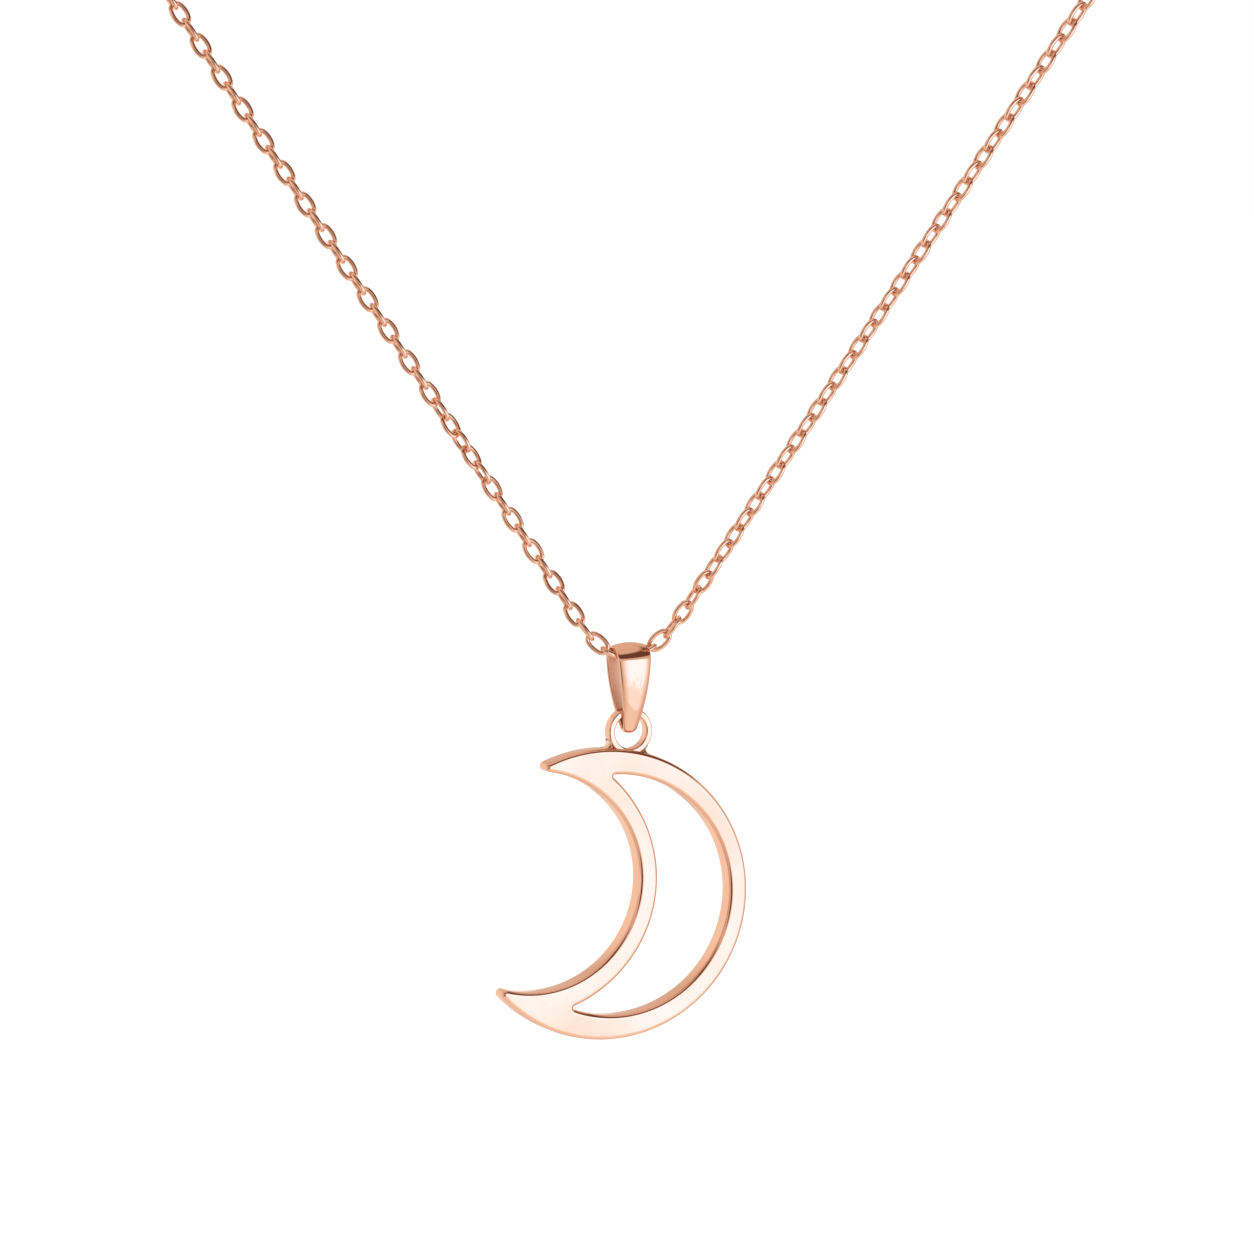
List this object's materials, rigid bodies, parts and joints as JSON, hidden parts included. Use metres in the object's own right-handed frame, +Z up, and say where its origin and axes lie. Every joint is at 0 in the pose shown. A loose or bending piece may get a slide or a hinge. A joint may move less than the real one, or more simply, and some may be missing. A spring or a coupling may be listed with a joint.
{
  "type": "pendant necklace",
  "caption": "Fine cable-chain necklace with an open crescent-moon pendant on a tapered strip bail, closed at the back by a lobster clasp.",
  "frame": {"origin": "middle of the back of the neck, on the axis of the clasp, midway between the two chain ends", "axes": "+X to a viewer's right when the pendant faces them, +Y to the back (from the pendant to the clasp), +Z up; the V of the chain hangs in the plane y = -100 mm"},
  "size_m": [0.1247, 0.1083, 0.1398],
  "materials": {
    "chain_gold": "polished rose gold",
    "pendant_gold": "mirror-polished rose gold",
    "solder_gold": "buffed rose-gold solder",
    "clasp_gold": "tumble-polished rose gold",
    "spring_steel": "drawn steel wire"
  },
  "bodies": {
    "neck_chain": {"chain_back_left_1": "chain_gold", "chain_back_left_2": "chain_gold", "chain_back_left_3": "chain_gold", "chain_back_left_4": "chain_gold", "chain_back_left_5": "chain_gold", "chain_back_left_6": "chain_gold", "chain_back_right_1": "chain_gold", "chain_back_right_2": "chain_gold", "chain_back_right_3": "chain_gold", "chain_back_right_4": "chain_gold", "chain_back_right_5": "chain_gold", "chain_back_right_6": "chain_gold"},
    "left_strand_4": {"chain_left_4": "chain_gold"},
    "left_strand_3": {"chain_left_3": "chain_gold"},
    "left_strand_2": {"chain_left_2": "chain_gold"},
    "left_strand_1": {"chain_left_1": "chain_gold", "centre_link": "chain_gold"},
    "right_strand_4": {"chain_right_4": "chain_gold"},
    "right_strand_3": {"chain_right_3": "chain_gold"},
    "right_strand_2": {"chain_right_2": "chain_gold"},
    "right_strand_1": {"chain_right_1": "chain_gold"},
    "bail": {"bail": "pendant_gold"},
    "pendant": {"moon_frame": "pendant_gold", "pendant_ring": "pendant_gold", "solder_left": "solder_gold", "solder_right": "solder_gold"},
    "clasp": {"clasp_body": "clasp_gold", "clasp_pin": "spring_steel", "clasp_spring": "spring_steel"},
    "lever": {"clasp_lever": "clasp_gold"},
    "end_ring": {"end_ring": "chain_gold"},
    "jump_ring": {"clasp_jump_ring": "chain_gold"}
  },
  "joints": [
    {"name": "left_swing_4", "type": "hinge", "parent": "neck_chain", "child": "left_strand_4", "pos_m": [-0.04609, -0.1, -0.03783], "axis": [1, 0, 0], "range_deg": [-30, 30]},
    {"name": "left_swing_3", "type": "hinge", "parent": "left_strand_4", "child": "left_strand_3", "pos_m": [-0.03494, -0.1, -0.05492], "axis": [1, 0, 0], "range_deg": [-30, 30]},
    {"name": "left_swing_2", "type": "hinge", "parent": "left_strand_3", "child": "left_strand_2", "pos_m": [-0.0238, -0.1, -0.07202], "axis": [1, 0, 0], "range_deg": [-30, 30]},
    {"name": "left_swing_1", "type": "hinge", "parent": "left_strand_2", "child": "left_strand_1", "pos_m": [-0.01265, -0.1, -0.08912], "axis": [1, 0, 0], "range_deg": [-30, 30]},
    {"name": "right_swing_4", "type": "hinge", "parent": "neck_chain", "child": "right_strand_4", "pos_m": [0.04609, -0.1, -0.03783], "axis": [1, 0, 0], "range_deg": [-30, 30]},
    {"name": "right_swing_3", "type": "hinge", "parent": "right_strand_4", "child": "right_strand_3", "pos_m": [0.03494, -0.1, -0.05492], "axis": [1, 0, 0], "range_deg": [-30, 30]},
    {"name": "right_swing_2", "type": "hinge", "parent": "right_strand_3", "child": "right_strand_2", "pos_m": [0.0238, -0.1, -0.07202], "axis": [1, 0, 0], "range_deg": [-30, 30]},
    {"name": "right_swing_1", "type": "hinge", "parent": "right_strand_2", "child": "right_strand_1", "pos_m": [0.01265, -0.1, -0.08912], "axis": [1, 0, 0], "range_deg": [-30, 30]},
    {"name": "bail_swing", "type": "hinge", "parent": "left_strand_1", "child": "bail", "pos_m": [0, -0.1, -0.1056], "axis": [0.9063, 0.4226, 0], "range_deg": [-40, 40]},
    {"name": "pendant_rock", "type": "hinge", "parent": "bail", "child": "pendant", "pos_m": [0, -0.1, -0.11148], "axis": [-0.4226, 0.9063, 0], "range_deg": [-35, 35]},
    {"name": "clasp_roll", "type": "hinge", "parent": "neck_chain", "child": "clasp", "pos_m": [-0.00255, 0, 0], "axis": [1, 0, 0], "range_deg": [-18, 18]},
    {"name": "lever_press", "type": "hinge", "parent": "clasp", "child": "lever", "pos_m": [0.00006, 0, -0.00085], "axis": [0, 1, 0], "range_deg": [0, 16], "stiffness_Nm_per_rad": 0.008, "springref_deg": -11.46, "deforming": ["clasp_spring"]},
    {"name": "end_ring_roll", "type": "hinge", "parent": "neck_chain", "child": "end_ring", "pos_m": [-0.00588, 0, 0], "axis": [1, 0, 0], "range_deg": [-20, 20]},
    {"name": "jump_ring_roll", "type": "hinge", "parent": "neck_chain", "child": "jump_ring", "pos_m": [0.00605, 0, 0], "axis": [1, 0, 0], "range_deg": [-20, 20]}
  ],
  "couplings": [
    {"joint": "right_swing_4", "follows": "left_swing_4", "ratio": 1},
    {"joint": "right_swing_3", "follows": "left_swing_3", "ratio": 1},
    {"joint": "right_swing_2", "follows": "left_swing_2", "ratio": 1},
    {"joint": "right_swing_1", "follows": "left_swing_1", "ratio": 1}
  ]
}
